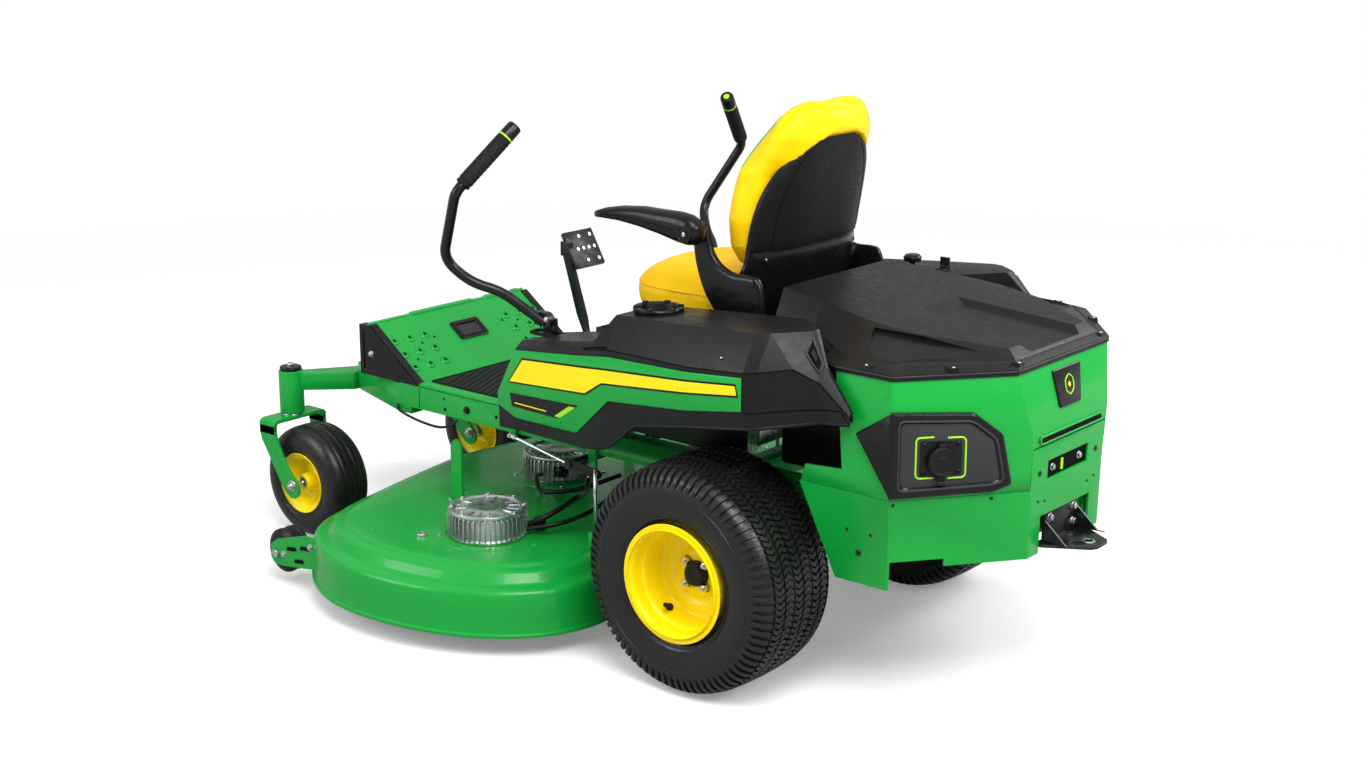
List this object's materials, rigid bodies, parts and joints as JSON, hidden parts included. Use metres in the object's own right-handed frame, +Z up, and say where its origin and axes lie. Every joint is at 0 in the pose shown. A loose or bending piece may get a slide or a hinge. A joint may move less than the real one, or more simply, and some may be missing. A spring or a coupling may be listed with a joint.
{
  "type": "riding lawn mower",
  "caption": "Zero-turn riding mower: steel frame on rear drive wheels and front casters, with a padded seat, steering levers and a wide side-discharge deck.",
  "frame": {"origin": "bottom centre of the whole machine's box, on the ground, with the chute lowered; the mower's centre plane is at x = 0.09975 and the rear axle at y = 0.4145", "axes": "+Z up, the mower faces -Y, its left side is +X"},
  "size_m": [1.6794, 2.239, 1.238],
  "materials": {
    "paint_green": "gloss powder coat, bright mid green",
    "paint_yellow": "gloss yellow wheel paint",
    "vinyl_yellow": "satin yellow seat vinyl with a fine grain",
    "plastic_black": "moulded charcoal plastic, fine texture",
    "steel_black": "semi-gloss black paint",
    "rubber": "matt rubber",
    "tyre": "satin black tyre rubber",
    "aluminium": "die-cast, unpainted",
    "steel": "zinc-plated"
  },
  "bodies": {
    "frame": {"main_frame": "paint_green", "front_axle": "paint_green", "foot_platform": "paint_green", "seat_support": "plastic_black", "battery_pack": "plastic_black", "motor_controller": "aluminium", "drive_unit_left": "aluminium", "drive_unit_right": "aluminium", "rear_body_panel": "paint_green", "rear_bumper": "paint_green", "rear_cover": "plastic_black", "charge_panel": "plastic_black", "hitch_plate": "steel_black", "fender_left": "plastic_black", "fender_right": "plastic_black", "side_panel_left": "paint_green", "side_panel_right": "paint_green", "cup_holder": "plastic_black", "control_display": "plastic_black"},
    "rear_wheel_left": {"rear_tyre_left": "tyre", "rear_rim_left": "paint_yellow", "rear_hub_left": "steel"},
    "rear_wheel_right": {"rear_tyre_right": "tyre", "rear_rim_right": "paint_yellow", "rear_hub_right": "steel"},
    "caster_left": {"caster_fork_left": "paint_green"},
    "caster_right": {"caster_fork_right": "paint_green"},
    "caster_wheel_left": {"caster_tyre_left": "tyre", "caster_rim_left": "paint_yellow"},
    "caster_wheel_right": {"caster_tyre_right": "tyre", "caster_rim_right": "paint_yellow"},
    "lever_base_left": {"lever_bracket_left": "steel_black"},
    "lever_base_right": {"lever_bracket_right": "steel_black"},
    "control_lever_left": {"lever_left": "steel_black", "grip_left": "rubber"},
    "control_lever_right": {"lever_right": "steel_black", "grip_right": "rubber"},
    "seat_base": {"seat_pan": "steel_black"},
    "seat": {"seat_cushion": "vinyl_yellow", "seat_back_cushion": "vinyl_yellow", "seat_back_shell": "plastic_black"},
    "armrest_left": {"armrest_left": "plastic_black"},
    "armrest_right": {"armrest_right": "plastic_black"},
    "deck": {"deck_shell": "paint_green", "deck_motor_left": "aluminium", "deck_motor_center": "aluminium", "deck_motor_right": "aluminium", "lift_link_left": "steel", "lift_link_right": "steel"},
    "blade_left": {"blade_left": "steel"},
    "blade_center": {"blade_center": "steel"},
    "blade_right": {"blade_right": "steel"},
    "scalp_wheel_left": {"scalp_wheel_left": "plastic_black"},
    "scalp_wheel_right": {"scalp_wheel_right": "plastic_black"},
    "discharge_chute": {"discharge_chute": "plastic_black"},
    "deck_lift_pedal": {"deck_lift_pedal": "steel_black"},
    "lift_shaft": {"lift_shaft": "steel_black"},
    "charge_port_cap": {"charge_port_cap": "plastic_black"},
    "key_switch": {"key_switch": "steel_black"},
    "pto_knob": {"pto_knob": "paint_yellow"}
  },
  "joints": [
    {"name": "rear_wheel_spin_left", "type": "hinge", "parent": "frame", "child": "rear_wheel_left", "pos_m": [0.51925, 0.4145, 0.254], "axis": [1, 0, 0], "continuous": true},
    {"name": "caster_swivel_left", "type": "hinge", "parent": "frame", "child": "caster_left", "pos_m": [0.41975, -1.0635, 0.36], "axis": [0, 0, 1], "continuous": true},
    {"name": "caster_wheel_spin_left", "type": "hinge", "parent": "caster_left", "child": "caster_wheel_left", "pos_m": [0.41975, -0.9725, 0.147], "axis": [1, 0, 0], "continuous": true},
    {"name": "lever_drive_left", "type": "hinge", "parent": "frame", "child": "lever_base_left", "pos_m": [0.40575, -0.1455, 0.625], "axis": [1, 0, 0], "range_deg": [-15, 15]},
    {"name": "lever_park_left", "type": "hinge", "parent": "lever_base_left", "child": "control_lever_left", "pos_m": [0.41775, -0.1455, 0.685], "axis": [0, 1, 0], "range_deg": [0, 28]},
    {"name": "armrest_fold_left", "type": "hinge", "parent": "seat", "child": "armrest_left", "pos_m": [0.36975, 0.2415, 0.939], "axis": [1, 0, 0], "range_deg": [-95, 0]},
    {"name": "scalp_wheel_spin_left", "type": "hinge", "parent": "deck", "child": "scalp_wheel_left", "pos_m": [0.69975, -0.7505, 0.08], "axis": [1, 0, 0], "continuous": true},
    {"name": "rear_wheel_spin_right", "type": "hinge", "parent": "frame", "child": "rear_wheel_right", "pos_m": [-0.31975, 0.4145, 0.254], "axis": [1, 0, 0], "continuous": true},
    {"name": "caster_swivel_right", "type": "hinge", "parent": "frame", "child": "caster_right", "pos_m": [-0.22025, -1.0635, 0.36], "axis": [0, 0, 1], "continuous": true},
    {"name": "caster_wheel_spin_right", "type": "hinge", "parent": "caster_right", "child": "caster_wheel_right", "pos_m": [-0.22025, -0.9725, 0.147], "axis": [1, 0, 0], "continuous": true},
    {"name": "lever_drive_right", "type": "hinge", "parent": "frame", "child": "lever_base_right", "pos_m": [-0.20625, -0.1455, 0.625], "axis": [1, 0, 0], "range_deg": [-15, 15]},
    {"name": "lever_park_right", "type": "hinge", "parent": "lever_base_right", "child": "control_lever_right", "pos_m": [-0.21825, -0.1455, 0.685], "axis": [0, -1, 0], "range_deg": [0, 28]},
    {"name": "armrest_fold_right", "type": "hinge", "parent": "seat", "child": "armrest_right", "pos_m": [-0.17025, 0.2415, 0.939], "axis": [1, 0, 0], "range_deg": [-95, 0]},
    {"name": "scalp_wheel_spin_right", "type": "hinge", "parent": "deck", "child": "scalp_wheel_right", "pos_m": [-0.50025, -0.7505, 0.08], "axis": [1, 0, 0], "continuous": true},
    {"name": "seat_tilt", "type": "hinge", "parent": "frame", "child": "seat_base", "pos_m": [0.09975, -0.0155, 0.7], "axis": [1, 0, 0], "range_deg": [0, 50]},
    {"name": "seat_slide", "type": "slide", "parent": "seat_base", "child": "seat", "axis": [0, 1, 0], "range_m": [-0.075, 0]},
    {"name": "deck_lift", "type": "slide", "parent": "frame", "child": "deck", "axis": [0, 0, 1], "range_m": [0, 0.075]},
    {"name": "pedal_push", "type": "hinge", "parent": "frame", "child": "deck_lift_pedal", "pos_m": [-0.10025, -0.4855, 0.5], "axis": [1, 0, 0], "range_deg": [0, 25.5]},
    {"name": "lift_shaft_turn", "type": "hinge", "parent": "frame", "child": "lift_shaft", "pos_m": [0.09975, -0.0605, 0.372], "axis": [1, 0, 0], "range_deg": [0, 55.5]},
    {"name": "blade_spin_left", "type": "hinge", "parent": "deck", "child": "blade_left", "pos_m": [0.54475, -0.2205, 0.09], "axis": [0, 0, 1], "continuous": true},
    {"name": "blade_spin_center", "type": "hinge", "parent": "deck", "child": "blade_center", "pos_m": [0.09975, -0.4055, 0.09], "axis": [0, 0, 1], "continuous": true},
    {"name": "blade_spin_right", "type": "hinge", "parent": "deck", "child": "blade_right", "pos_m": [-0.34525, -0.2205, 0.09], "axis": [0, 0, 1], "continuous": true},
    {"name": "chute_fold", "type": "hinge", "parent": "deck", "child": "discharge_chute", "pos_m": [-0.64225, -0.3005, 0.168], "axis": [0, 1, 0], "range_deg": [0, 85]},
    {"name": "charge_cap_flip", "type": "hinge", "parent": "frame", "child": "charge_port_cap", "pos_m": [0.42088, 0.92335, 0.528], "axis": [-0.787, 0.6169, 0], "range_deg": [0, 110]},
    {"name": "key_turn", "type": "hinge", "parent": "frame", "child": "key_switch", "pos_m": [-0.26025, 0.4945, 0.8], "axis": [0, 0, 1], "range_deg": [0, 60]},
    {"name": "pto_pull", "type": "slide", "parent": "frame", "child": "pto_knob", "axis": [0, 0, 1], "range_m": [0, 0.012]}
  ],
  "couplings": [
    {"joint": "pedal_push", "follows": "deck_lift", "rad_per_m": 5.8178},
    {"joint": "lift_shaft_turn", "follows": "deck_lift", "rad_per_m": 12.799}
  ]
}
